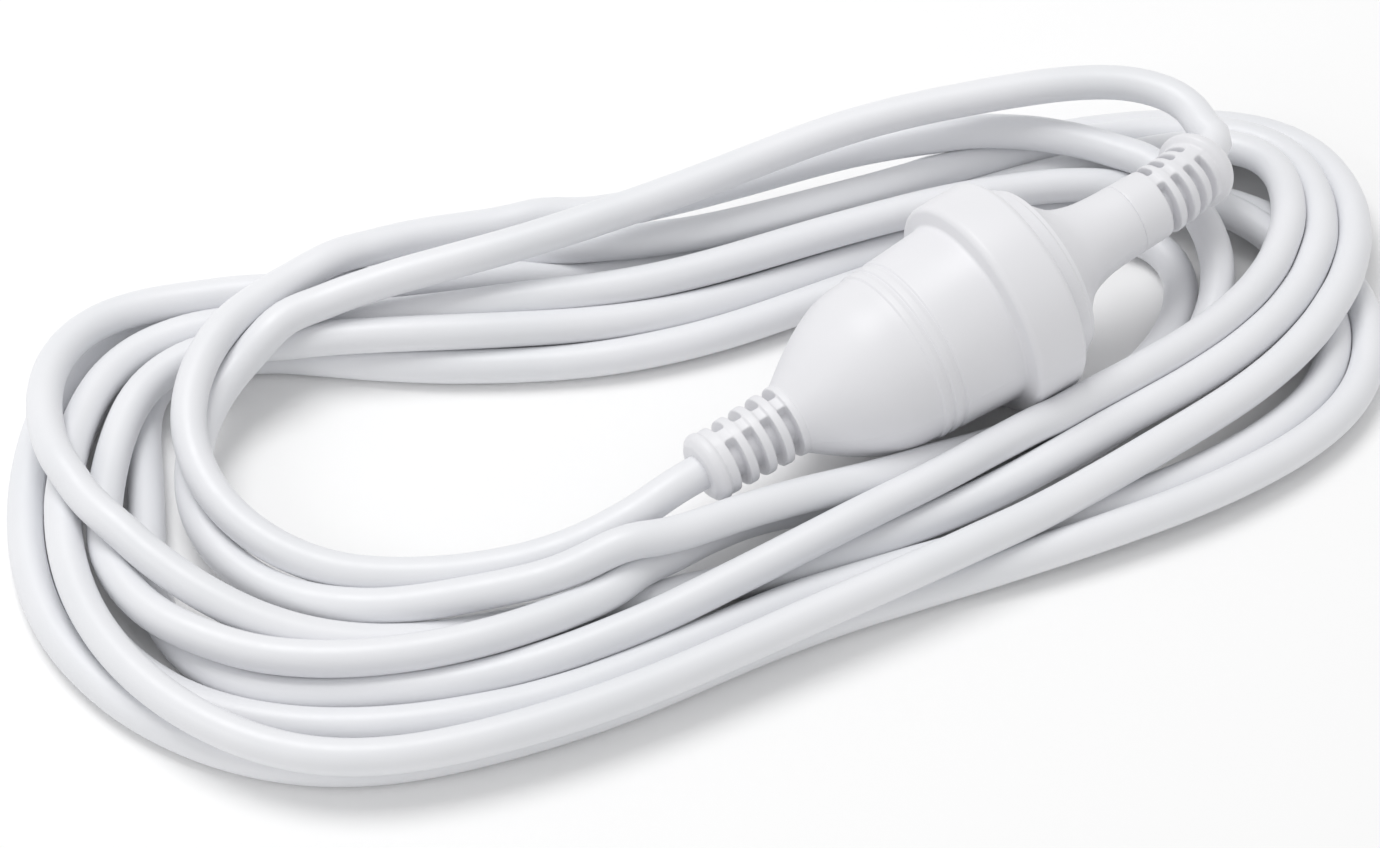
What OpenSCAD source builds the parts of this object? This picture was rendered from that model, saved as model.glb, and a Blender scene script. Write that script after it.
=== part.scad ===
// Household extension lead, wound and lying flat, with its plug pushed into its own socket.
// X runs along the wound cord, Z is up. The origin is on the surface that the lead lies on,
// under the middle of the plug and socket.

/* [Cord] */
// Outer diameter of the cord's sheath
cord_d = 7.2; // [7:0.1:7.3]
// Diameter of one insulated core
core_d = 2.5; // [2.3:0.1:2.6]
// Diameter of a bare stranded conductor
conductor_d = 1.3; // [1.1:0.1:1.4]
// Height of the wound cord's pile
coil_h = 14; // [13:0.5:14]

/* [Socket] */
// Outer diameter of the collar
collar_d = 46.4; // [45.6:0.2:46.4]
// Length of the collar
collar_length = 12; // [11:0.5:12.5]
// Depth of the recess inside the collar
recess_depth = 10; // [9.6:0.1:10]
// Inner diameter of the collar
recess_d = 40; // [39.6:0.2:41]
// Length from the collar's mouth to the end of the strain relief
socket_length = 77.5; // [76:0.5:80]

/* [Plug] */
// Diameter of the flange that sits in the collar
flange_d = 38; // [37:0.5:38.2]
// Length from the collar's mouth to the end of the strain relief
plug_length = 49.5; // [48.5:0.5:52]
// Width of each pin
pin_w = 6.35; // [6.3:0.01:6.38]
// Thickness of each pin
pin_t = 1.6; // [1.56:0.01:1.64]
// Length of the active and neutral pins
pin_length = 17.1; // [16.9:0.1:17.3]
// Length of the earth pin
earth_pin_length = 19.9; // [19.7:0.1:20.1]

/* [Lie] */
// Turn of the plug and socket's axis from X, in degrees
axis_turn = 14.3; // [12:0.1:16]
// Rise of the axis towards the plug's cord, in degrees
axis_tilt = 5.8; // [5:0.1:6]

/* [Hidden] */

$fn = 96;
gap = 0.05;                 // between pieces that are moulded round each other
sheath_r = cord_d / 2;
core_r = core_d / 2;
collar_r = collar_d / 2;
flange_r = flange_d / 2;
travel = 30;                // how far the plug slides out
plug_face = 0.5 - recess_depth;

// The collar's mouth, and the direction from the socket towards the plug
mouth = [13.4, 1.8, 24.2];
axis_dir = [cos(axis_tilt) * cos(axis_turn), cos(axis_tilt) * sin(axis_turn), sin(axis_tilt)];

// Pins in the order active, neutral, earth: angle from the top, and distance from the axis
ACTIVE = 0;
NEUTRAL = 1;
EARTH = 2;
pin_angle = [60, -60, 180];
pin_offset = [7.92, 7.92, 10.31];
core_offset = 1.7;          // of a core from the cord's own middle

// Socket, as distances behind the collar's mouth
face_t = 4;
carrier_r = 14.8;
carrier_back = 34;
crimp_r = 1.7;
crimp_back = 37;
neck_back = 56;             // where the strain relief starts
sheath_start = 53;          // where the sheath ends inside the moulding
core_end = sheath_start + 0.5;

// Plug, as distances ahead of the collar's mouth
bridge_r = 14.4;
bridge_back = -5;
plug_crimp_back = 3;
plug_neck = 26.6;           // where the strain relief starts
plug_sheath_start = 22;
plug_core_end = plug_sheath_start + 0.5;
sleeve_length = 9.5;        // the insulated part of a pin, next to the plug's face
neck_w = pin_w - 1;
neck_t = pin_t - 0.7;

// Middle of the wound cord, and the circles round which its outline and its opening run
coil_at = [-50, 3];
coil_outline = [[-98, 28, 44], [-95, -22, 45], [-45, -26, 40], [105, 4, 38], [103, 24, 42]];
coil_opening = [[-66, 10, 25], [66, 8, 27], [58, -2, 24.5]];

// Where the cord leaves the socket, and the way it runs into the wound cord
socket_lead = [
    on_line(-sheath_start), on_line(-socket_length), on_line(-socket_length - 7),
    [-80, -22, 13], [-92, -23, 11], [-104, -24, 9],
];
// From the plug round a loop and along the top of the wound cord
plug_lead = [
    on_line(plug_length), on_line(plug_length + 2.5),
    [66.5, 19, 29], [68, 26, 28.5], [67, 33, 28.5], [62.5, 39, 28.5], [56, 43, 28], [48, 45.5, 28],
    [39, 48.5, 28], [19, 51.5, 28], [1, 54, 26], [-19, 53, 24], [-38, 51.5, 22], [-58, 50.5, 21],
    [-78, 50.5, 20], [-98, 52, 18], [-113, 54, 15], [-125, 53.5, 12], [-134, 50.5, 9],
];

// A point on the plug and socket's axis, at a distance ahead of the collar's mouth
function on_line(ahead) = mouth + ahead * axis_dir;
function unit(v) = v / norm(v);
function heading(path, i) = unit(path[min(i + 1, len(path) - 1)] - path[max(i - 1, 0)]);
function ring_points(path, i, r, sides) =
    let (along = heading(path, i), side = unit(cross(along, [0, 0, 1])), over = cross(side, along))
    [for (k = [0 : sides - 1]) path[i] + r * (cos(360 * k / sides) * side + sin(360 * k / sides) * over)];
// Where a pin's own line crosses a plane square to the axis
function pin_point(pin, offset, along) =
    [-offset * cos(pin_angle[pin]), -offset * sin(pin_angle[pin]), along];
// A point of a core's slanting run, from behind its pin at `near` to beside the cord's middle at `far`
function core_point(pin, near, far, at) =
    let (part = (at - near) / (far - near))
    pin_point(pin, pin_offset[pin] * (1 - part) + core_offset * part, at);

module on_axis() {
    translate(mouth) rotate([0, 90 - axis_tilt, axis_turn]) children();
}

module at_pin(pin) {
    rotate([0, 0, pin_angle[pin]]) translate([-pin_offset[pin], 0, 0]) children();
}

// A block round a pin's line: active and neutral stand across the radius, earth along it
module pin_block(pin, width, thickness, from, to) {
    size = pin == EARTH ? [width, thickness] : [thickness, width];
    at_pin(pin) translate([-size.x / 2, -size.y / 2, from]) cube([size.x, size.y, to - from]);
}

module rod(from, to, r) {
    run = to - from;
    translate(from)
        rotate([0, acos(run.z / norm(run)), atan2(run.y, run.x)])
            cylinder(h = norm(run), r = r, $fn = 32);
}

module tube(path, r, sides = 10) {
    last = len(path) - 1;
    polyhedron(
        points = [for (i = [0 : last]) each ring_points(path, i, r, sides)],
        faces = [
            [for (k = [0 : sides - 1]) k],
            [for (k = [sides - 1 : -1 : 0]) last * sides + k],
            for (i = [0 : last - 1], k = [0 : sides - 1])
                let (a = i * sides + k, b = i * sides + (k + 1) % sides) [a, a + sides, b + sides, b],
        ]
    );
}

// A boot of rings on a sleeve, cut by slots from both sides that leave a spine above and below
module slotted_boot(from, to, r_from, r_to, disc_r, disc_t, first_slot, pitch, slot_w, slots) {
    sleeve_r = sheath_r + 1;
    spine = 3;
    dir = sign(to - from);
    difference() {
        rotate_extrude() polygon([
            [sheath_r + gap, from], [r_from, from], [r_to, to - dir * disc_t],
            [disc_r - 0.5, to - dir * disc_t], [disc_r, to - dir * (disc_t - 0.5)],
            [disc_r, to - dir * 0.8], [disc_r - 0.8, to], [sheath_r + gap, to],
        ]);
        for (i = [0 : slots - 1]) {
            edge = first_slot + dir * i * pitch;
            low = min(edge, edge + dir * slot_w);
            difference() {
                translate([0, 0, low]) cylinder(h = slot_w, r = r_from + 2);
                translate([0, 0, low - 1]) cylinder(h = slot_w + 2, r = sleeve_r);
                translate([-r_from - 3, -spine / 2, low - 1]) cube([2 * r_from + 6, spine, slot_w + 2]);
            }
        }
    }
}

// ---- Socket ----

module socket_profile() {
    rotate_extrude() polygon([
        [0, 0], [collar_r - 1, 0], [collar_r, -1], [collar_r, 1 - collar_length],
        [collar_r - 0.7, -collar_length], [19.5, -collar_length], [18.7, -25],
        [18.7, -26], [18.3, -26.3], [18.6, -27.5], [18.6, -28.7], [18.2, -29], [18.5, -30.2],
        [18.4, -31.4], [18, -31.7], [17.8, -36], [17, -40], [14.8, -45], [11.8, -50], [9, -54],
        [7.6, -neck_back], [0, -neck_back],
    ]);
}

module socket_body() {
    color("white") on_axis() difference() {
        socket_profile();
        translate([0, 0, -recess_depth]) cylinder(h = recess_depth + 1, d = recess_d);
        translate([0, 0, -recess_depth - face_t]) cylinder(h = face_t + 1, r = carrier_r + 1.8);
        translate([0, 0, -carrier_back]) cylinder(h = carrier_back - recess_depth, r = carrier_r + gap);
        translate([0, 0, -neck_back - 1]) cylinder(h = neck_back - sheath_start + 2, r = sheath_r + gap);
        for (pin = [ACTIVE, NEUTRAL, EARTH]) {
            rod(pin_point(pin, pin_offset[pin], -carrier_back + 1),
                pin_point(pin, pin_offset[pin], -crimp_back - 0.5), crimp_r + gap);
            rod(core_point(pin, -crimp_back, -core_end, -crimp_back),
                core_point(pin, -crimp_back, -core_end, -core_end), core_r + gap);
        }
    }
}

module socket_face() {
    color("whitesmoke") on_axis() difference() {
        translate([0, 0, -recess_depth - face_t]) cylinder(h = face_t, r = carrier_r + 1.8 - gap);
        for (pin = [ACTIVE, NEUTRAL, EARTH])
            pin_block(pin, pin_w + 0.7, pin_t + 0.7, -recess_depth - face_t - 1, -recess_depth + 1);
    }
}

module contact_carrier() {
    color("gainsboro") on_axis() difference() {
        translate([0, 0, -carrier_back])
            cylinder(h = carrier_back - recess_depth - face_t, r = carrier_r);
        for (pin = [ACTIVE, NEUTRAL, EARTH]) {
            pin_block(pin, 7.6, 4.4, -32, 0);
            at_pin(pin) translate([0, 0, -carrier_back - 1]) cylinder(h = 4, r = crimp_r + gap, $fn = 48);
        }
    }
}

// Two leaves joined by a web, with a crimp barrel behind
module contact(pin) {
    leaf_t = 0.5;
    gape = pin_t + 0.6;
    color("goldenrod") on_axis() {
        difference() {
            pin_block(pin, 6.6, gape + 2 * leaf_t, -32, -recess_depth - face_t - 0.5);
            pin_block(pin, 8, gape, -31.4, 0);
        }
        difference() {
            at_pin(pin) translate([0, 0, -crimp_back]) cylinder(h = crimp_back - 31.9, r = crimp_r, $fn = 48);
            at_pin(pin) translate([0, 0, -crimp_back - 1])
                cylinder(h = 4, d = conductor_d + gap, $fn = 32);
        }
    }
}

module contact_active() { contact(ACTIVE); }
module contact_neutral() { contact(NEUTRAL); }
module contact_earth() { contact(EARTH); }

module socket_conductors() {
    color("peru") on_axis() for (pin = [ACTIVE, NEUTRAL, EARTH])
        at_pin(pin) translate([0, 0, -crimp_back]) cylinder(h = 3, d = conductor_d, $fn = 32);
}

module socket_core(pin) {
    on_axis() rod(core_point(pin, -crimp_back, -core_end, -crimp_back - 0.7),
                  core_point(pin, -crimp_back, -core_end, 0.9 - sheath_start), core_r);
}

module socket_core_active() { color("saddlebrown") socket_core(ACTIVE); }
module socket_core_neutral() { color("royalblue") socket_core(NEUTRAL); }
module socket_core_earth() { color("yellowgreen") socket_core(EARTH); }

module socket_strain_relief() {
    color("white") on_axis() slotted_boot(
        from = -neck_back, to = -socket_length, r_from = 7.6, r_to = 6.6, disc_r = 7.3, disc_t = 3.5,
        first_slot = -57.6, pitch = 4.1, slot_w = 2.2, slots = 4);
}

// ---- Plug ----

module plug_profile() {
    rotate_extrude() polygon([
        [0, plug_face], [flange_r - 1.2, plug_face], [flange_r, plug_face + 1.2], [flange_r, 3.8],
        [18.2, 5], [17, 5.6], [13.6, 8], [9.8, 12], [8.2, 17], [7.7, 22],
        [7.6, plug_neck], [0, plug_neck],
    ]);
}

module plug_body() {
    color("white") on_axis() difference() {
        plug_profile();
        translate([0, 0, plug_face - 1]) cylinder(h = bridge_back - plug_face + 1, r = bridge_r + gap);
        translate([0, 0, plug_sheath_start])
            cylinder(h = plug_neck - plug_sheath_start + 1, r = sheath_r + gap);
        for (pin = [ACTIVE, NEUTRAL, EARTH]) {
            rod(pin_point(pin, pin_offset[pin], bridge_back - 1),
                pin_point(pin, pin_offset[pin], plug_crimp_back + 0.5), crimp_r + gap);
            rod(core_point(pin, plug_crimp_back, plug_core_end, plug_crimp_back),
                core_point(pin, plug_crimp_back, plug_core_end, plug_core_end), core_r + gap);
        }
    }
}

module plug_pin_bridge() {
    color("whitesmoke") on_axis() difference() {
        translate([0, 0, plug_face]) cylinder(h = bridge_back - plug_face, r = bridge_r);
        for (pin = [ACTIVE, NEUTRAL, EARTH]) {
            pin_block(pin, pin_w + gap, pin_t + gap, plug_face - 1, 0);
            at_pin(pin) translate([0, 0, bridge_back - 0.2]) cylinder(h = 1, r = crimp_r + gap);
        }
    }
}

// A flat blade with a crimp barrel behind; a sleeved blade is thinner inside its sleeve
module pin_blade(pin, length, sleeved) {
    color("khaki") on_axis() {
        if (sleeved) {
            pin_block(pin, pin_w, pin_t, plug_face - length, plug_face - sleeve_length);
            pin_block(pin, neck_w, neck_t, plug_face - length / 2 - 1, plug_face);
            pin_block(pin, pin_w, pin_t, plug_face, bridge_back);
        } else {
            pin_block(pin, pin_w, pin_t, plug_face - length, bridge_back);
        }
        difference() {
            at_pin(pin) translate([0, 0, bridge_back - 0.1])
                cylinder(h = plug_crimp_back - bridge_back + 0.1, r = crimp_r, $fn = 48);
            at_pin(pin) translate([0, 0, plug_crimp_back - 3])
                cylinder(h = 4, d = conductor_d + gap, $fn = 32);
        }
    }
}

module pin_active() { pin_blade(ACTIVE, pin_length, true); }
module pin_neutral() { pin_blade(NEUTRAL, pin_length, true); }
module pin_earth() { pin_blade(EARTH, earth_pin_length, false); }

module pin_sleeve(pin) {
    color("dimgray") on_axis() difference() {
        pin_block(pin, pin_w, pin_t, plug_face - sleeve_length, plug_face);
        pin_block(pin, neck_w + gap, neck_t + gap, plug_face - sleeve_length - 1, plug_face + 1);
    }
}

module pin_sleeve_active() { pin_sleeve(ACTIVE); }
module pin_sleeve_neutral() { pin_sleeve(NEUTRAL); }

module plug_conductors() {
    color("peru") on_axis() for (pin = [ACTIVE, NEUTRAL, EARTH])
        at_pin(pin) translate([0, 0, plug_crimp_back - 3]) cylinder(h = 3, d = conductor_d, $fn = 32);
}

module plug_core(pin) {
    on_axis() rod(core_point(pin, plug_crimp_back, plug_core_end, plug_crimp_back + 0.7),
                  core_point(pin, plug_crimp_back, plug_core_end, plug_sheath_start - 0.8), core_r);
}

module plug_core_active() { color("saddlebrown") plug_core(ACTIVE); }
module plug_core_neutral() { color("royalblue") plug_core(NEUTRAL); }
module plug_core_earth() { color("yellowgreen") plug_core(EARTH); }

module plug_strain_relief() {
    color("white") on_axis() slotted_boot(
        from = plug_neck, to = plug_length, r_from = 7.6, r_to = 6.9, disc_r = 8.4, disc_t = 3.5,
        first_slot = 33.6, pitch = 3.1, slot_w = 1.6, slots = 4);
}

module cord_plug_tail() {
    color("white") on_axis() translate([0, 0, plug_sheath_start])
        cylinder(h = plug_length - plug_sheath_start, r = sheath_r);
}

// ---- Cord ----

module cord_socket_lead() {
    color("white") tube(socket_lead, sheath_r);
}

module cord_plug_lead() {
    color("white") tube(plug_lead, sheath_r);
}

module rounded_outline(circles) {
    hull() for (c = circles) translate([c.x, c.y]) circle(r = c[2], $fn = 48);
}

// The room that the socket fills and that the plug passes through
module way_of_the_plug() {
    on_axis() {
        translate([0, 0, -collar_length - 1]) cylinder(h = collar_length + 1.5, r = collar_r + 0.5);
        translate([0, 0, -carrier_back - 2]) cylinder(h = 26, r = 20.2);
        translate([0, 0, -neck_back]) cylinder(h = neck_back - carrier_back - 2, r1 = 9.5, r2 = 19.5);
        translate([0, 0, -socket_length - 1]) cylinder(h = 30, r = 8.2);
        cylinder(h = travel + 7, r = flange_r + 0.6);
        translate([0, 0, travel + 7]) cylinder(h = 12, r1 = flange_r + 0.6, r2 = 9);
    }
}

module cord_coil() {
    color("white") difference() {
        translate([coil_at.x, coil_at.y, 0]) linear_extrude(height = coil_h) difference() {
            rounded_outline(coil_outline);
            rounded_outline(coil_opening);
        }
        way_of_the_plug();
    }
}

socket_body();
socket_face();
contact_carrier();
contact_active();
contact_neutral();
contact_earth();
socket_conductors();
socket_core_active();
socket_core_neutral();
socket_core_earth();
socket_strain_relief();
plug_body();
plug_pin_bridge();
pin_active();
pin_neutral();
pin_earth();
pin_sleeve_active();
pin_sleeve_neutral();
plug_conductors();
plug_core_active();
plug_core_neutral();
plug_core_earth();
plug_strain_relief();
cord_plug_tail();
cord_socket_lead();
cord_coil();
cord_plug_lead();
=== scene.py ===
"""A white household extension lead, wound and lying flat, with its plug in its own socket.

The CAD model gives the frame. This script lays the cord, builds the mouldings and sets the
materials. Lengths are in millimetres until a mesh is made.
"""

import math

import bpy
import numpy as np
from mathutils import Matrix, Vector


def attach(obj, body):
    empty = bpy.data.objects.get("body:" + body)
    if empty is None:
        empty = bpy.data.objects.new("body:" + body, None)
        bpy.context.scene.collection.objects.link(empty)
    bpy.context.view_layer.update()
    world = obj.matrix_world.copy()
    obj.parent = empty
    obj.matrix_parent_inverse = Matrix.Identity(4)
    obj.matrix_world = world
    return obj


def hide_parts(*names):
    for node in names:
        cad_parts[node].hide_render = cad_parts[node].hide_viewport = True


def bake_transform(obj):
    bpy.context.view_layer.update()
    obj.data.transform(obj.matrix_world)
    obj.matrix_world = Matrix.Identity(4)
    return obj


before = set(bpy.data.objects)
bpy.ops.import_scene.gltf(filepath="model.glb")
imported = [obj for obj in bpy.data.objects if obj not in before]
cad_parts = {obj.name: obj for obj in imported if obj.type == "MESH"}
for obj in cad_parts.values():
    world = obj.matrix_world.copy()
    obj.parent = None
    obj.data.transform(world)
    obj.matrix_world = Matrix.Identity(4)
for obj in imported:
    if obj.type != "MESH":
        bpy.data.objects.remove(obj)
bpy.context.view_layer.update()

MM = 0.001

# ---- Driving dimensions, as in the CAD model, in millimetres ----

CORD_D = 7.2
CORD_R = CORD_D / 2
MOUTH = np.array([13.4, 1.8, 24.2])     # middle of the socket's collar, at its mouth
TURN = math.radians(14.3)               # of the pair's axis, from +X towards +Y
TILT = math.radians(5.8)                # of the pair's axis, up towards the plug
# Along the axis from the mouth: where each boot leaves its moulding, and where it ends
SOCKET_NECK = -56.0
SOCKET_END = -77.5
PLUG_NECK = 26.6
PLUG_END = 49.5

# The pair's own axes: LOCAL_X is down, LOCAL_Y to the plug's left, LOCAL_Z from socket to plug
LOCAL_X = np.array([
    math.sin(TILT) * math.cos(TURN), math.sin(TILT) * math.sin(TURN), -math.cos(TILT)])
LOCAL_Y = np.array([-math.sin(TURN), math.cos(TURN), 0.0])
LOCAL_Z = np.array([
    math.cos(TILT) * math.cos(TURN), math.cos(TILT) * math.sin(TURN), math.sin(TILT)])


def on_axis(ahead):
    """The point on the plug and socket's axis at a distance ahead of the collar's mouth."""
    return MOUTH + ahead * LOCAL_Z


def from_local(points):
    """Points in the pair's own axes, put where the pair lies."""
    points = np.asarray(points, float)
    return MOUTH + points @ np.array([LOCAL_X, LOCAL_Y, LOCAL_Z])


# ---- Camera, floor and light, in metres and watts ----

SENSOR = 36.0                           # this and the lens in millimetres
LENS = 116.7
NEAR_CLIP = 0.01
AIM = Vector((-0.0537, 0.0091, 0.0))
CAMERA_DISTANCE = 0.9
CAMERA_ELEVATION = math.radians(48)
CAMERA_AZIMUTH = math.radians(20)       # from +Y towards +X
FLOOR_HALF = 3.0
FLOOR_COLOUR = (0.97, 0.97, 0.97, 1)
WORLD_COLOUR = (1.0, 1.0, 1.0, 1)
WORLD_STRENGTH = 0.60
# Each softbox: name, place, diameter, power
SOFTBOXES = [
    ("softbox_above", (-0.25, 0.4, 1.3), 0.8, 8.3),
    ("softbox_left", (-1.2, -0.3, 0.9), 0.6, 1.6),
]


def look_direction():
    """The way the camera looks."""
    return Vector((
        math.sin(CAMERA_AZIMUTH) * math.cos(CAMERA_ELEVATION),
        math.cos(CAMERA_AZIMUTH) * math.cos(CAMERA_ELEVATION),
        -math.sin(CAMERA_ELEVATION),
    ))


def add_camera():
    data = bpy.data.cameras.new("camera")
    data.lens = LENS
    data.sensor_width = SENSOR
    data.clip_start = NEAR_CLIP
    camera = bpy.data.objects.new("camera", data)
    bpy.context.collection.objects.link(camera)
    look = look_direction()
    camera.location = AIM - CAMERA_DISTANCE * look
    camera.rotation_euler = look.to_track_quat("-Z", "Y").to_euler()
    bpy.context.scene.camera = camera


def add_softbox(name, place, size, power):
    data = bpy.data.lights.new(name, "AREA")
    data.shape = "DISK"
    data.size = size
    data.energy = power
    lamp = bpy.data.objects.new(name, data)
    lamp.location = place
    lamp.rotation_euler = (AIM - Vector(place)).to_track_quat("-Z", "Y").to_euler()
    bpy.context.collection.objects.link(lamp)


def add_studio():
    half = FLOOR_HALF
    corners = [(-half, -half, 0), (half, -half, 0), (half, half, 0), (-half, half, 0)]
    mesh = bpy.data.meshes.new("studio_floor")
    mesh.from_pydata(corners, [], [(0, 1, 2, 3)])
    floor = bpy.data.objects.new("studio_floor", mesh)
    bpy.context.collection.objects.link(floor)
    paint = bpy.data.materials.new("floor_paper")
    paint.use_nodes = True
    shader = paint.node_tree.nodes["Principled BSDF"]
    shader.inputs["Base Color"].default_value = FLOOR_COLOUR
    shader.inputs["Roughness"].default_value = 0.9
    shader.inputs["Specular IOR Level"].default_value = 0.0
    mesh.materials.append(paint)

    world = bpy.data.worlds.new("soft_light")
    world.use_nodes = True
    background = world.node_tree.nodes["Background"]
    background.inputs["Color"].default_value = WORLD_COLOUR
    background.inputs["Strength"].default_value = WORLD_STRENGTH
    bpy.context.scene.world = world
    bpy.context.scene.view_settings.view_transform = "Standard"

    for name, place, size, power in SOFTBOXES:
        add_softbox(name, place, size, power)


# ---- The lie of the cord ----

# The cord runs round the coil's middle past 16 stations, from the front, by the left end, the
# back and the right end. Each pass gives a lane, in cord diameters outwards from an oval line, and
# a level, in diameters above the surface, at each station. The first pass starts at the third
# station, where the cord has come down from the socket. The last ends behind the left end.
COIL_MIDDLE = np.array([-50.0, 3.0])
STATIONS = [12, 11, 10, 9, 8, 7, 6, 5, 4, 3, 2, 1, 0, 15, 14, 13]
STATION_STEP = math.radians(22.5)
OVAL_HALF = (92.0, 30.0)
OVAL_SHIFT = -2.0                       # of the oval from the coil's middle, along Y
OVAL_POWER = 1 / 1.2                    # under 1 fills the corners a little more than an ellipse
PASSES = [
    [(-.7, .6), (-.45, .6), (.35, .8), (2.35, 1.1), (4.5, 1.6), (5.3, 1.3), (4.15, .8), (4.8, .8),
     (4.9, 1.2), (4, .2), (2.2, 0), (.75, 0), (.5, 0), (.2, 0)],
    [(-1, .1), (1.25, .9), (2.3, .3), (3.4, .7), (4.5, 1), (4.7, 1), (5.9, .8), (2.6, 0), (.7, 0),
     (1.3, 0), (2.6, 0), (4.5, 0), (5.65, 0), (6.05, 0), (4.4, 0), (3.15, 0)],
    [(3, 0), (4.6, 0), (6, 0), (6.05, 0), (6.4, 0), (7.15, 0), (8.4, 0), (5.2, 0), (2.4, .87),
     (3.1, .8), (5.4, .2), (7.6, .6), (5.2, 1), (2.1, .8), (.8, .6), (1, .5)],
    [(1, 0), (.6, 0), (1.45, .1), (2, .4), (3.3, 1.1), (6.3, 2), (8.5, .7), (4.3, .85), (2.9, 0),
     (3.7, 0), (6.1, 0), (8.4, 0), (6.4, .9), (3.8, .5), (2.45, .7), (2.6, .8)],
    [(3.35, .9), (4.9, .8), (6.2, .7), (5.7, .9), (5.55, .9), (5.95, 1), (6.9, .9), (3.3, .2),
     (1.25, .87), (1.9, .8), (3.5, .3), (5, 0), (5.5, 0), (5.4, .5), (4.4, .7), (2.9, .4)],
    [(2, 0), (3.3, 0), (4.4, 0), (5.1, 0), (5.45, 0), (6.1, 0), (7.35, 0), (4.2, 0), (1.8, 0),
     (2.4, 0), (4.5, 0), (7.3, .5), (4.2, 1), (1.05, 1), (-.2, 1), (0, 1)],
    [(1.1, .9), (2.65, .5), (3.2, 0), (4, 0), (3.6, 0), (3.7, 0), (6.45, 0), (1.6, 0), (-.4, 0),
     (.2, 0), (1.5, 0), (2.8, 0), (1.2, 0), (-.2, 0), (-.45, .1), (-.35, .55)],
    [(-.35, 1.2), (.2, .8), (0, .3), (.35, 0), (1.1, 0), (2.65, .1), (4.3, .5)],
]
SOCKET_LEAD = [on_axis(-72), on_axis(SOCKET_END), on_axis(-84), (-80, -22, 13), (-92, -23, 11)]
# From the last pass, up over the coil and round a loop into the plug
JOIN = (-134, 50.5, 9)
LAST_STRETCH = 150                      # the mesh's rings, from the plug, that the join is among
PLUG_LEAD = [
    (-125, 53.5, 12), (-113, 54, 15), (-98, 52, 18), (-78, 50.5, 20), (-58, 50.5, 21),
    (-38, 51.5, 22), (-19, 53, 24), (1, 54, 26), (19, 51.5, 28), (39, 48.5, 28),
    (50.5, 46.5, 28), (57.5, 43.5, 28), (63.5, 38.5, 28), (67, 32, 27.8), (66.7, 25.4, 27.5),
    (63.9, 20.7, 27.2),
]
LAST_POINTS = (0.5, -6.0)               # on the axis, ahead of the end of the plug's boot
# The plug's boot gives with the cord: how far it bends, and the way it bends to
BOOT_BEND_START = 34.0
BOOT_BEND_ANGLE = math.radians(31)
BOOT_BEND_WAY = np.array([0.5, 0.87, 0.0])

STEP = 3.6                              # between the points that the cord is settled by
FINE_STEP = 2.2                         # between the rings of its mesh
HELD_POINTS = 5                         # that stay put at each of the cord's ends
CURVE_POINTS = 24                       # from one given point of a curve to the next

# How the cord settles. Distances between stretches are in cord diameters.
SETTLE_ROUNDS = 420
LAST_ROUNDS = 12                        # only push stretches apart
FALL = 0.012                            # millimetres down in a round
MEMORY = 0.985                          # the share of its laid bends that the cord keeps
HOLD_SEEN = 0.09                        # how firmly it keeps its laid place across the view
HOLD_DEEP = 0.006                       # and along the view
LAY_SPREAD = 4.0                        # points that the laid line is averaged over
FINISH_SPREAD = 0.7                     # and the settled one
BEND_SCALES = (7, 3, 1)                 # points between those that a bend is taken from
BEND_WEIGHTS = (1, -4, 6, -4, 1)
STIFFNESS = 0.6
PAIRS_EVERY = 8                         # rounds between searches for stretches that lie close
PAIR_REACH = 1.5
PAIR_SKIP = 6                           # points along the cord that count as neighbours
PUSHES = 4                              # in a round
SPACING = 1.015                         # between the centres of stretches that touch
PAIR_CLEARANCE = 0.3                    # millimetres between the cord and the plug or socket
TINY = 1e-9

# The cord's skin
TUBE_SIDES = 28
WOBBLES = [(0.006, 23.0), (0.004, 7.1)] # each a share of the radius, and its length over 2 pi
U_PER_METRE = 10

# What the cord rests against, of the plug and socket: (distance along the axis, radius)
PAIR_OUTLINE = np.array([
    (-77.5, 7.3), (-56, 7.6), (-54, 9), (-50, 11.8), (-45, 14.8), (-40, 17), (-32, 18.2),
    (-25, 18.7), (-12.1, 19.5), (-12, 23.2), (-0.1, 23.2), (0, 19), (5, 19), (5.6, 17),
    (8, 13.6), (12, 9.8), (17, 8.2), (22, 7.7), (30, 7.6), (49.5, 8.4),
])


def bent(points):
    """Points in the pair's own axes, with what lies beyond the boot's start bent along an arc."""
    points = np.array(points, float)
    way = BOOT_BEND_WAY / np.linalg.norm(BOOT_BEND_WAY)
    radius = (PLUG_END - BOOT_BEND_START) / BOOT_BEND_ANGLE
    ahead = points[:, 2] - BOOT_BEND_START
    angle = np.clip(ahead, 0, None) / radius
    aside = points @ way
    rest = points - np.outer(aside, way)
    new_aside = radius - (radius - aside) * np.cos(angle)
    new_ahead = BOOT_BEND_START + (radius - aside) * np.sin(angle)
    moved = rest + np.outer(new_aside, way)
    moved[:, 2] = new_ahead
    return np.where((ahead > 0)[:, None], moved, points)


def station_point(station, lane, level):
    """The place of a lane and a level at a station."""
    angle = station * STATION_STEP
    c, s = math.cos(angle), math.sin(angle)
    oval = np.array([
        OVAL_HALF[0] * math.copysign(abs(c) ** OVAL_POWER, c),
        OVAL_SHIFT + OVAL_HALF[1] * math.copysign(abs(s) ** OVAL_POWER, s),
    ])
    flat = COIL_MIDDLE + oval + lane * CORD_D * np.array([c, s])
    return (flat[0], flat[1], CORD_R + level * CORD_D)


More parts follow.
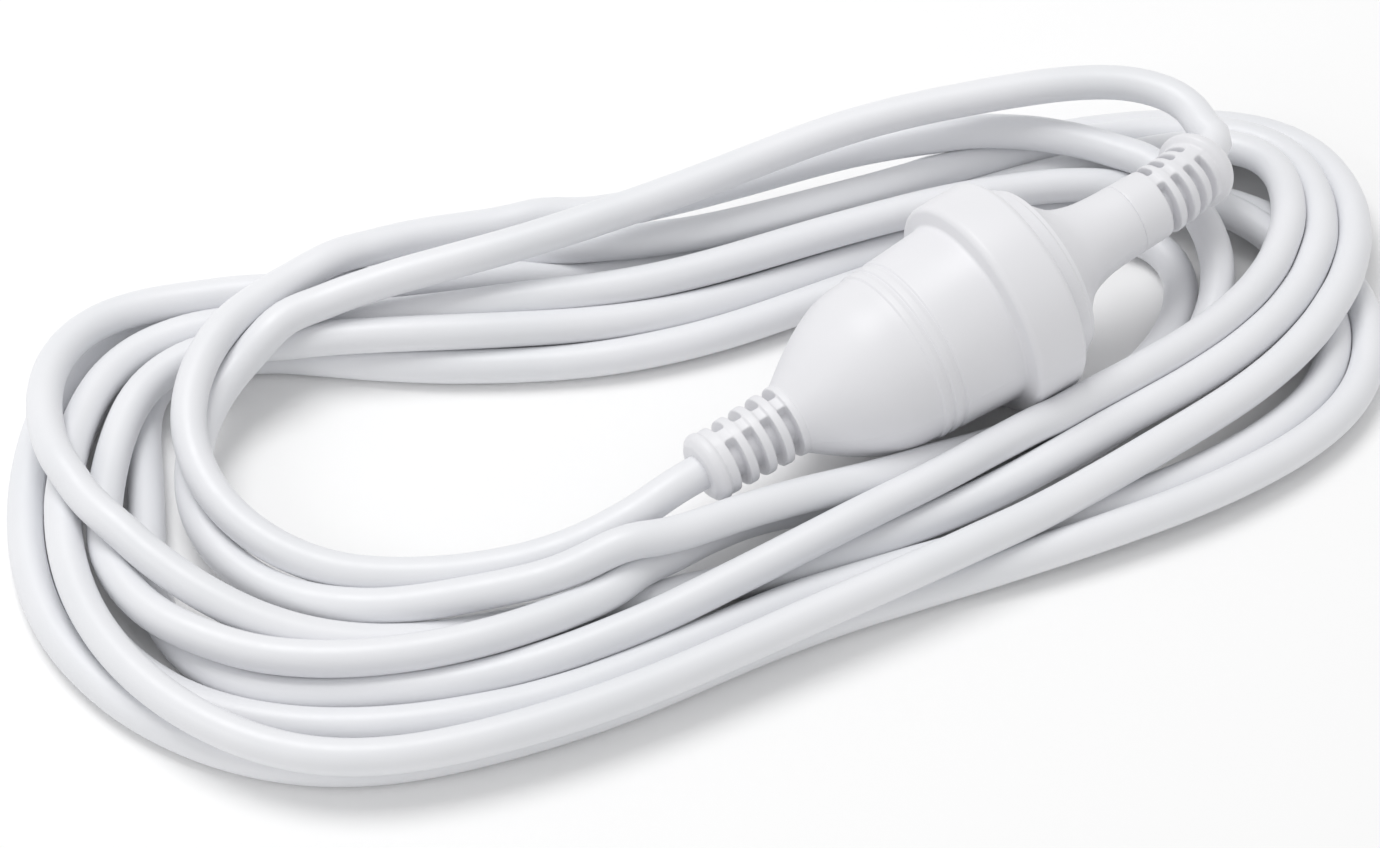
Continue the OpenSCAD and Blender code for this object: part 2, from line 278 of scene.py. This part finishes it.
def cord_route():
    """The given points of the whole cord, from the socket to the plug."""
    points = list(SOCKET_LEAD)
    for number, lie in enumerate(PASSES):
        stations = STATIONS[2:] if number == 0 else STATIONS
        points += [station_point(s, *place) for s, place in zip(stations, lie)]
    points += [JOIN] + PLUG_LEAD
    last = bent([(0, 0, PLUG_END + ahead) for ahead in LAST_POINTS])
    return np.array(points + list(from_local(last)), float)


def resample(points, step):
    """A smooth curve through the points, as points a step apart."""
    points = np.vstack([2 * points[0] - points[1], points, 2 * points[-1] - points[-2]])
    curve = []
    for i in range(1, len(points) - 2):
        # A centripetal Catmull-Rom curve between the middle two of four points
        p = points[i - 1:i + 3]
        t = np.cumsum([0.0] + [np.linalg.norm(b - a) ** 0.5 for a, b in zip(p, p[1:])])
        at = np.linspace(t[1], t[2], CURVE_POINTS, endpoint=False)[:, None]
        a = [((t[k + 1] - at) * p[k] + (at - t[k]) * p[k + 1]) / (t[k + 1] - t[k])
             for k in range(3)]
        b = [((t[k + 2] - at) * a[k] + (at - t[k]) * a[k + 1]) / (t[k + 2] - t[k])
             for k in range(2)]
        curve.append(((t[2] - at) * b[0] + (at - t[1]) * b[1]) / (t[2] - t[1]))
    curve = np.vstack(curve + [points[-2][None]])
    run = np.concatenate([[0], np.cumsum(np.linalg.norm(np.diff(curve, axis=0), axis=1))])
    at = np.linspace(0, run[-1], int(round(run[-1] / step)) + 1)
    return np.stack([np.interp(at, run, curve[:, k]) for k in range(3)], 1)


def smoothed(points, spread):
    """The points averaged along the cord over a bell of that many points."""
    reach = int(3 * spread)
    weight = np.exp(-0.5 * (np.arange(-reach, reach + 1) / spread) ** 2)
    weight /= weight.sum()
    padded = np.pad(points, ((reach, reach), (0, 0)), mode="reflect", reflect_type="odd")
    return np.stack([np.convolve(padded[:, k], weight, "valid") for k in range(3)], 1)


def stiffen(points, remembered, free):
    """Evens out bends, at three scales, against the cord's remembered line."""
    for scale in BEND_SCALES:
        away = points - remembered
        reach = len(points) - 4 * scale
        bend = sum(
            weight * away[k * scale:k * scale + reach] for k, weight in enumerate(BEND_WEIGHTS))
        move = np.zeros_like(points)
        move[2 * scale:-2 * scale] = -bend / sum(map(abs, BEND_WEIGHTS)) * STIFFNESS
        points[free] += move[free]


def space_evenly(points, free):
    """Slides each point along the cord, half of the way to the middle of its neighbours."""
    along = points[2:] - points[:-2]
    along /= np.linalg.norm(along, axis=1)[:, None]
    lag = 0.5 * (points[2:] + points[:-2]) - points[1:-1]
    move = np.zeros_like(points)
    move[1:-1] = 0.5 * (lag * along).sum(1)[:, None] * along
    points[free] += move[free]


def near_pairs(points, reach):
    """Pairs of points that lie close together but aren't neighbours along the cord."""
    square = (points ** 2).sum(1)
    gap = square[:, None] + square[None, :] - 2 * points @ points.T
    first, second = np.nonzero(gap < reach ** 2)
    keep = second - first > PAIR_SKIP
    return first[keep], second[keep]


def push_apart(points, first, second, free, distance):
    """Moves both points of each pair that is closer than the distance. Held points don't move."""
    apart = points[first] - points[second]
    length = np.linalg.norm(apart, axis=1) + TINY
    hit = length < distance
    first, second = first[hit], second[hit]
    push = ((distance - length[hit]) / length[hit])[:, None] * apart[hit]
    share = np.where(free[second], 0.5, 1.0) * free[first]
    other = np.where(free[first], 0.5, 1.0) * free[second]
    move = np.zeros_like(points)
    count = np.zeros(len(points))
    np.add.at(move, first, push * share[:, None])
    np.add.at(move, second, -push * other[:, None])
    np.add.at(count, first, 1)
    np.add.at(count, second, 1)
    points += move / np.maximum(count ** 0.6, 1)[:, None]


def push_off_pair(points, free):
    """Keeps the cord outside the plug and the socket, and on the surface."""
    local = points - MOUTH
    ahead = local @ LOCAL_Z
    out = local - np.outer(ahead, LOCAL_Z)
    radius = np.linalg.norm(out, axis=1) + TINY
    limit = np.interp(ahead, PAIR_OUTLINE[:, 0], PAIR_OUTLINE[:, 1]) + CORD_R + PAIR_CLEARANCE
    beside = (ahead > PAIR_OUTLINE[0, 0]) & (ahead < PAIR_OUTLINE[-1, 0])
    hit = free & (radius < limit) & beside
    points[hit] += ((limit - radius) / radius)[hit, None] * out[hit]
    points[free, 2] = np.maximum(points[free, 2], CORD_R)


def settle(points):
    """Lets the laid cord sink, bend and press on itself until no two stretches share a place.

    Where the cord shows is known better than how high it lies, so it gives mostly along the
    view.
    """
    sight = np.array(look_direction())
    free = np.ones(len(points), bool)
    free[:HELD_POINTS] = False
    free[-HELD_POINTS:] = False
    # The second smoothing puts back what the first takes off a bend
    once = smoothed(points, LAY_SPREAD)
    laid = np.where(free[:, None], 2 * once - smoothed(once, LAY_SPREAD), points)
    points = laid.copy()
    remembered = laid * np.array([MEMORY, MEMORY, 0.0])
    for turn in range(SETTLE_ROUNDS):
        if turn % PAIRS_EVERY == 0:
            first, second = near_pairs(points, PAIR_REACH * CORD_D)
        if turn < SETTLE_ROUNDS - LAST_ROUNDS:
            points[free, 2] -= FALL
            back = laid - points
            deep = np.outer(back @ sight, sight)
            points[free] += (HOLD_SEEN * (back - deep) + HOLD_DEEP * deep)[free]
            stiffen(points, remembered, free)
            space_evenly(points, free)
        for _ in range(PUSHES):
            push_apart(points, first, second, free, SPACING * CORD_D)
            push_off_pair(points, free)
    return np.where(free[:, None], smoothed(points, FINISH_SPREAD), points)


def tube_rings(points):
    """A direction to the side and one over the top at each point, turning as little as can be."""
    along = np.gradient(points, axis=0)
    along /= np.linalg.norm(along, axis=1)[:, None]
    side = np.zeros_like(points)
    side[0] = np.cross(along[0], (0, 0, 1))
    for i in range(len(points)):
        before = side[max(i - 1, 0)]
        side[i] = before - (before @ along[i]) * along[i]
        side[i] /= np.linalg.norm(side[i])
    return side, np.cross(side, along)


def ring_faces(rings, sides):
    """The faces between rings of vertices that follow one another."""
    return [
        (i * sides + k, i * sides + (k + 1) % sides,
         (i + 1) * sides + (k + 1) % sides, (i + 1) * sides + k)
        for i in range(rings - 1) for k in range(sides)
    ]


def tube_mesh(name, points, side, over, run):
    """A round tube through the points, with its length in U and its girth in V."""
    sides = TUBE_SIDES
    turn = np.linspace(0, 2 * math.pi, sides, endpoint=False)
    wobble = 1 + sum(share * np.sin(run / length) for share, length in WOBBLES)
    ring = (np.cos(turn)[None, :, None] * side[:, None, :]
            + np.sin(turn)[None, :, None] * over[:, None, :])
    verts = points[:, None, :] + CORD_R * wobble[:, None, None] * ring
    count = len(points)
    faces = ring_faces(count, sides)
    ends = [tuple(range(sides))[::-1], tuple((count - 1) * sides + k for k in range(sides))]
    mesh = bpy.data.meshes.new(name)
    mesh.from_pydata((verts.reshape(-1, 3) * MM).tolist(), [], faces + ends)
    uv = mesh.uv_layers.new(name="UVMap")
    for polygon in mesh.polygons:
        last_side = polygon.index < len(faces) and polygon.index % sides == sides - 1
        for loop in polygon.loop_indices:
            vertex = mesh.loops[loop].vertex_index
            around = vertex % sides
            if last_side and around == 0:
                around = sides
            uv.data[loop].uv = (run[vertex // sides] * MM * U_PER_METRE, around / sides)
    return mesh


# ---- Mesh helpers ----

FILLET_PIECES = 5
LEAST_FILLET = 0.01
FILLET_SHARE = 0.49                     # the most of an edge that a fillet takes
LATHE_COLUMNS = 144
SEAM_PROUD = 0.05
SEAM_ANGLE = 0.7                        # degrees to each side of the seam's middle
STUB_SIDES = 96


def add_object(mesh, sharp=50):
    """An object of the mesh, smooth but for edges that turn by more than so many degrees."""
    mesh.shade_smooth()
    mesh.set_sharp_from_angle(angle=math.radians(sharp))
    obj = bpy.data.objects.new(mesh.name, mesh)
    bpy.context.collection.objects.link(obj)
    return obj


def rounded_outline(corners):
    """An outline through (radius, distance, fillet) corners, each rounded by its fillet."""
    corners = [np.array(c[:2] + (c[2] if len(c) > 2 else 0.0,), float) for c in corners]
    outline = [corners[0][:2]]
    for before, here, after in zip(corners, corners[1:], corners[2:]):
        back, onward = before[:2] - here[:2], after[:2] - here[:2]
        size = min(
            here[2], FILLET_SHARE * np.linalg.norm(back), FILLET_SHARE * np.linalg.norm(onward))
        if size < LEAST_FILLET:
            outline.append(here[:2])
            continue
        start = here[:2] + size * back / np.linalg.norm(back)
        end = here[:2] + size * onward / np.linalg.norm(onward)
        for t in np.linspace(0, 1, FILLET_PIECES):
            outline.append((1 - t) ** 2 * start + 2 * t * (1 - t) * here[:2] + t * t * end)
    return np.array(outline + [corners[-1][:2]])


def lathe(name, corners):
    """Turns an outline about the pair's axis. A faint parting line stands proud on both sides."""
    outline = rounded_outline(corners)
    turn = np.linspace(0, 2 * math.pi, LATHE_COLUMNS, endpoint=False)
    near_seam = np.radians([-SEAM_ANGLE, SEAM_ANGLE])
    turn = np.sort(np.concatenate([turn, math.pi / 2 + near_seam, 1.5 * math.pi + near_seam]))
    on_seam = np.isclose(np.abs(np.sin(turn)), 1)
    inner = outline[1:-1]
    radius = inner[:, 0][:, None] + SEAM_PROUD * on_seam[None, :]
    count, wide = len(inner), len(turn)
    ahead = np.repeat(inner[:, 1][:, None], wide, 1)
    verts = np.stack([radius * np.cos(turn), radius * np.sin(turn), ahead], 2).reshape(-1, 3)
    faces = ring_faces(count, wide)
    first, last = len(verts), len(verts) + 1
    verts = np.vstack([verts, (0, 0, outline[0, 1]), (0, 0, outline[-1, 1])])
    faces += [(first, (k + 1) % wide, k) for k in range(wide)]
    top = (count - 1) * wide
    faces += [(last, top + k, top + (k + 1) % wide) for k in range(wide)]
    mesh = bpy.data.meshes.new(name)
    mesh.from_pydata((from_local(verts) * MM).tolist(), [], faces)
    return add_object(mesh)


def cone_part(verts, faces, low, high, r_low, r_high):
    """Adds a closed stub of a cone, from one distance along the axis to another."""
    sides = STUB_SIDES
    turn = np.linspace(0, 2 * math.pi, sides, endpoint=False)
    start = len(verts)
    for z, r in ((low, r_low), (high, r_high)):
        verts.extend((r * math.cos(a), r * math.sin(a), z) for a in turn)
    faces.extend(
        (start + k, start + (k + 1) % sides, start + sides + (k + 1) % sides, start + sides + k)
        for k in range(sides))
    faces.append(tuple(start + k for k in reversed(range(sides))))
    faces.append(tuple(start + sides + k for k in range(sides)))


def box_part(verts, faces, corner, size):
    """Adds a closed box, from its lowest corner."""
    start = len(verts)
    verts.extend(
        (corner[0] + i * size[0], corner[1] + j * size[1], corner[2] + k * size[2])
        for i in (0, 1) for j in (0, 1) for k in (0, 1))
    faces.extend(tuple(start + n for n in face) for face in (
        (0, 1, 3, 2), (4, 6, 7, 5), (0, 4, 5, 1), (2, 3, 7, 6), (0, 2, 6, 4), (1, 5, 7, 3)))


BOOT_SLEEVE_R = CORD_R + 1.0
BOOT_SPINE_W = 3.0
BOOT_SPINE_PROUD = 0.25                 # past the smaller of the boot's two radii
BOOT_RIB_PROUD = 0.15
BOOT_OVERLAP = 2.0                      # of the sleeve with the moulding
BOOT_VOXEL = 0.24
BOOT_SMOOTHING = 5
BOOT_SLOTS = 4


def boot(name, start, end, r_start, r_end, disc_r, disc_t, first_slot, pitch, slot_w, give=False):
    """A moulded boot: ribs on a sleeve with a spine above and below, and a thick end disc.

    Its parts are run together as one skin, whose edges are then softened as moulding softens
    them. A boot that gives is bent with the cord.
    """
    way = math.copysign(1, end - start)
    verts, faces = [], []

    def stub(a, b, r_a, r_b):
        low, high = sorted(((a, r_a), (b, r_b)))
        cone_part(verts, faces, low[0], high[0], low[1], high[1])

    def radius(at):
        """The radius of the boot's taper."""
        return r_start + (r_end - r_start) * (at - start) / (end - start)

    stub(start - BOOT_OVERLAP * way, end - 0.5 * way, BOOT_SLEEVE_R, BOOT_SLEEVE_R)
    stub(start, first_slot, r_start, radius(first_slot))
    for i in range(BOOT_SLOTS):
        rib = first_slot + way * (i * pitch + slot_w)
        far = first_slot + way * (i + 1) * pitch
        stub(rib, far, radius(rib) + BOOT_RIB_PROUD, radius(far) + BOOT_RIB_PROUD)
    # The end disc: an eased inner edge, its rim, and two steps of a rounder outer edge
    disc = end - way * disc_t
    stub(disc, disc + way * 0.8, disc_r - 0.8, disc_r)
    stub(disc + way * 0.7, end - way * 1.6, disc_r, disc_r)
    stub(end - way * 1.7, end - way * 0.8, disc_r, disc_r - 0.5)
    stub(end - way * 0.9, end, disc_r - 0.5, disc_r - 1.6)
    low, high = sorted((start + way, disc + way))
    reach = min(r_start, r_end) + BOOT_SPINE_PROUD
    box_part(
        verts, faces, (-reach, -BOOT_SPINE_W / 2, low), (2 * reach, BOOT_SPINE_W, high - low))

    mesh = bpy.data.meshes.new(name)
    mesh.from_pydata(verts, [], faces)
    rough = bpy.data.objects.new(name + "_rough", mesh)
    bpy.context.collection.objects.link(rough)
    remesh = rough.modifiers.new("skin", "REMESH")
    remesh.mode = "VOXEL"
    remesh.voxel_size = BOOT_VOXEL
    soften = rough.modifiers.new("soften", "SMOOTH")
    soften.factor = 0.5
    soften.iterations = BOOT_SMOOTHING
    depsgraph = bpy.context.evaluated_depsgraph_get()
    skin = bpy.data.meshes.new_from_object(rough.evaluated_get(depsgraph))
    bpy.data.objects.remove(rough)
    bpy.data.meshes.remove(mesh)
    skin.name = name
    co = np.empty(len(skin.vertices) * 3)
    skin.vertices.foreach_get("co", co)
    co = co.reshape(-1, 3)
    if give:
        co = bent(co)
    skin.vertices.foreach_set("co", (from_local(co) * MM).ravel())
    skin.update()
    return add_object(skin, sharp=80)


# ---- Materials ----

class Recipe:
    """A node material in the making."""

    def __init__(self, name):
        self.material = bpy.data.materials.new(name)
        self.material.use_nodes = True
        self.tree = self.material.node_tree
        self.shader = self.tree.nodes["Principled BSDF"]
        self.coordinates = self.add("ShaderNodeTexCoord")

    def add(self, kind, **values):
        node = self.tree.nodes.new(kind)
        for key, value in values.items():
            setattr(node, key, value)
        return node

    def link(self, source, target):
        self.tree.links.new(source, target)

    def noise(self, scale, detail=3.0, stretch=None, from_uv=False):
        """Noise with that many features to the metre, or to the unit of UV."""
        texture = self.add("ShaderNodeTexNoise")
        texture.inputs["Scale"].default_value = scale
        texture.inputs["Detail"].default_value = detail
        source = self.coordinates.outputs["UV" if from_uv else "Object"]
        if stretch:
            mapping = self.add("ShaderNodeMapping")
            mapping.inputs["Scale"].default_value = stretch
            self.link(source, mapping.inputs["Vector"])
            source = mapping.outputs["Vector"]
        self.link(source, texture.inputs["Vector"])
        return texture.outputs["Fac"]

    def colours(self, factor, low, high, start=0.35, end=0.65):
        ramp = self.add("ShaderNodeValToRGB")
        ramp.color_ramp.elements[0].position = start
        ramp.color_ramp.elements[1].position = end
        ramp.color_ramp.elements[0].color = (*low, 1)
        ramp.color_ramp.elements[1].color = (*high, 1)
        self.link(factor, ramp.inputs["Fac"])
        return ramp.outputs["Color"]

    def value(self, factor, low, high, start=0.3, end=0.7):
        change = self.add("ShaderNodeMapRange")
        change.inputs["From Min"].default_value = start
        change.inputs["From Max"].default_value = end
        change.inputs["To Min"].default_value = low
        change.inputs["To Max"].default_value = high
        self.link(factor, change.inputs["Value"])
        return change.outputs["Result"]

    def bump(self, height, strength, distance, under=None):
        node = self.add("ShaderNodeBump")
        node.inputs["Strength"].default_value = strength
        node.inputs["Distance"].default_value = distance
        self.link(height, node.inputs["Height"])
        if under:
            self.link(under, node.inputs["Normal"])
        return node.outputs["Normal"]

    def finish(self, colour=None, roughness=None, normal=None, **fixed):
        if colour:
            self.link(colour, self.shader.inputs["Base Color"])
        if roughness:
            self.link(roughness, self.shader.inputs["Roughness"])
        if normal:
            self.link(normal, self.shader.inputs["Normal"])
        for key, value in fixed.items():
            self.shader.inputs[key.replace("_", " ")].default_value = value
        return self.material


def moulded(name, low, high, roughness, grain=0.35, patch=26.0):
    """Moulded plastic: a cloudy tint, a fine spark-eroded grain and a little unevenness."""
    recipe = Recipe(name)
    cloud = recipe.noise(patch, 4)
    fine = recipe.noise(5200, 2)
    broad = recipe.noise(190, 2)
    normal = recipe.bump(broad, 0.12, 0.00008)
    normal = recipe.bump(fine, grain, 0.00002, under=normal)
    return recipe.finish(
        recipe.colours(cloud, low, high),
        recipe.value(recipe.noise(75, 5), roughness[0], roughness[1]),
        normal,
    )


def extruded(name, low, high, roughness):
    """Extruded sheath: drawn lines along the cord, and the cores' slow twist showing faintly."""
    recipe = Recipe(name)
    cloud = recipe.noise(30, 4)
    drawn = recipe.noise(1.0, 3, stretch=(9, 22, 1), from_uv=True)
    scuff = recipe.noise(420, 5)
    twist = recipe.add("ShaderNodeTexWave", wave_type="BANDS", bands_direction="DIAGONAL")
    twist.inputs["Scale"].default_value = 1.0
    twist.inputs["Distortion"].default_value = 0.6
    mapping = recipe.add("ShaderNodeMapping")
    mapping.inputs["Scale"].default_value = (1.0, 0.94, 1.0)
    recipe.link(recipe.coordinates.outputs["UV"], mapping.inputs["Vector"])
    recipe.link(mapping.outputs["Vector"], twist.inputs["Vector"])
    normal = recipe.bump(twist.outputs["Fac"], 0.10, 0.0003)
    normal = recipe.bump(drawn, 0.18, 0.00005, under=normal)
    normal = recipe.bump(scuff, 0.12, 0.00003, under=normal)
    return recipe.finish(
        recipe.colours(cloud, low, high),
        recipe.value(scuff, roughness[0], roughness[1]),
        normal,
    )


def metal(name, low, high, roughness, along=(1, 1, 14)):
    """Drawn or pressed metal: fine lines one way, with a tarnish that comes and goes."""
    recipe = Recipe(name)
    lines = recipe.noise(900, 3, stretch=along)
    return recipe.finish(
        recipe.colours(recipe.noise(240, 5), low, high),
        recipe.value(lines, roughness[0], roughness[1]),
        recipe.bump(lines, 0.25, 0.00003),
        Metallic=1.0,
    )


# Each material: its two tints, and the least and most of its roughness
MOULDED = {
    "grip_pvc": ((0.80, 0.80, 0.825), (0.835, 0.835, 0.86), (0.36, 0.46)),
    "insert_plastic": ((0.74, 0.74, 0.75), (0.79, 0.79, 0.80), (0.28, 0.38)),
    "carrier_plastic": ((0.60, 0.59, 0.56), (0.68, 0.67, 0.64), (0.40, 0.52)),
    "sleeve_plastic": ((0.030, 0.030, 0.032), (0.05, 0.05, 0.052), (0.38, 0.5)),
    "core_brown": ((0.13, 0.055, 0.028), (0.17, 0.075, 0.04), (0.42, 0.5)),
    "core_blue": ((0.03, 0.13, 0.42), (0.05, 0.17, 0.5), (0.42, 0.5)),
}
METALS = {
    "contact_bronze": ((0.55, 0.32, 0.16), (0.72, 0.46, 0.25), (0.28, 0.42)),
    "pin_brass": ((0.72, 0.56, 0.30), (0.83, 0.68, 0.42), (0.20, 0.34)),
    "bare_copper": ((0.66, 0.29, 0.16), (0.85, 0.44, 0.28), (0.25, 0.4)),
}
CORD_TINTS = ((0.81, 0.82, 0.845), (0.845, 0.85, 0.875), (0.34, 0.44))
EARTH_TINTS = ((0.05, 0.33, 0.06), (0.75, 0.68, 0.05), (0.42, 0.5))
EARTH_PATCH = 420.0                     # a finer cloud, so that both colours show on a core


def add_materials():
    made = {name: moulded(name, *look) for name, look in MOULDED.items()}
    made.update({name: metal(name, *look) for name, look in METALS.items()})
    made["cord_pvc"] = extruded("cord_pvc", *CORD_TINTS)
    made["core_green_yellow"] = moulded("core_green_yellow", *EARTH_TINTS, patch=EARTH_PATCH)
    return made


def paint(obj, slot):
    """Gives a new piece its material, and its slot of the same name."""
    obj.data.materials.clear()
    obj.data.materials.append(materials[slot])


# ---- The scene ----

add_camera()
add_studio()
materials = add_materials()

settled = settle(resample(cord_route(), STEP))
cord = resample(settled, FINE_STEP)
cord_run = np.concatenate([[0], np.cumsum(np.linalg.norm(np.diff(cord, axis=0), axis=1))])
cord_side, cord_over = tube_rings(cord)
# cord_main ends, and cord_to_plug starts, where the last pass lifts off the coil
late = len(cord) - LAST_STRETCH
join = int(np.argmin(np.linalg.norm(cord[late:] - np.array(JOIN), axis=1))) + late
main_part, plug_part = slice(0, join + 1), slice(join, None)

cord_main, cord_to_plug = (
    add_object(tube_mesh(name, cord[part], cord_side[part], cord_over[part], cord_run[part]))
    for name, part in (("cord_main", main_part), ("cord_to_plug", plug_part)))

# Both outlines are of (radius, distance along the axis, fillet), from the middle of one end, along
# the outside, and back along the inside
socket_shell = lathe("socket_shell", [
    (0, -56.4), (7.4, -56.4), (7.6, -56, 0.4), (9, -54, 1.2), (11.8, -50, 2.4), (14.8, -45, 2.8),
    (17, -40, 2.4), (17.8, -36, 2),
    # Three fine rings
    (18.05, -31.8, 0.15), (18.45, -31.4, 0.15), (18.5, -30.2, 0.1), (18.2, -29.2, 0.15),
    (18.6, -28.8, 0.15), (18.6, -27.5, 0.1), (18.3, -26.5, 0.15), (18.7, -26.1, 0.15),
    (18.75, -25, 2),
    # Collar
    (19.5, -12.6, 0.6), (22.5, -12, 0.8), (23.2, -11, 0.6), (23.2, -1, 0.8), (22.2, 0, 0.5),
    (20.5, 0, 0.5), (20, -0.6, 0.4), (20, -10, 0.3),
    # Seat of the face, and the room behind it
    (16.65, -10, 0.15), (16.65, -14), (14.85, -14), (14.85, -34), (0, -34),
])
plug_shell = lathe("plug_shell", [
    (0, 26.75), (7.3, 26.75), (7.6, 26.45, 0.15), (7.7, 22, 2), (8.2, 17, 2.4), (9.8, 12, 2.2),
    (13.6, 8, 2), (17, 5.6, 0.5), (18.2, 5.1, 0.3), (18.3, 4.1, 0.2), (19, 3.7, 0.3),
    (19, -8.3, 0.8), (17.8, -9.5, 0.5), (14.45, -9.5, 0.12), (14.45, -5), (0, -5),
])
socket_boot = boot(
    "socket_boot", SOCKET_NECK, SOCKET_END, r_start=7.6, r_end=6.6, disc_r=7.3, disc_t=3.5,
    first_slot=-57.6, pitch=4.1, slot_w=2.2)
plug_boot = boot(
    "plug_boot", PLUG_NECK, PLUG_END, r_start=7.6, r_end=6.9, disc_r=8.4, disc_t=3.5,
    first_slot=33.6, pitch=3.1, slot_w=1.6, give=True)

for piece in (socket_shell, plug_shell, socket_boot, plug_boot):
    paint(piece, "grip_pvc")
for piece in (cord_main, cord_to_plug):
    paint(piece, "cord_pvc")

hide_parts("cord_socket_lead", "cord_coil")
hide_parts("cord_plug_lead", "cord_plug_tail")
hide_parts("socket_body")
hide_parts("socket_strain_relief")
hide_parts("plug_body")
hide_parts("plug_strain_relief")

# The pieces inside the mouldings stay as the CAD model has them
NODE_SLOTS = {
    "insert_plastic": ["socket_face", "plug_pin_bridge"],
    "carrier_plastic": ["contact_carrier"],
    "contact_bronze": ["contact_active", "contact_neutral", "contact_earth"],
    "pin_brass": ["pin_active", "pin_neutral", "pin_earth"],
    "sleeve_plastic": ["pin_sleeve_active", "pin_sleeve_neutral"],
    "bare_copper": ["socket_conductors", "plug_conductors"],
    "core_brown": ["socket_core_active", "plug_core_active"],
    "core_blue": ["socket_core_neutral", "plug_core_neutral"],
    "core_green_yellow": ["socket_core_earth", "plug_core_earth"],
}
for slot_name, nodes in NODE_SLOTS.items():
    for node in nodes:
        node_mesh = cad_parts[node].data
        node_mesh.materials.clear()
        node_mesh.materials.append(materials[slot_name])

for piece in (socket_shell, socket_boot, cord_main):
    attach(piece, "socket_end")
for piece in (plug_shell, plug_boot):
    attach(piece, "plug_end")
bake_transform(cord_to_plug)
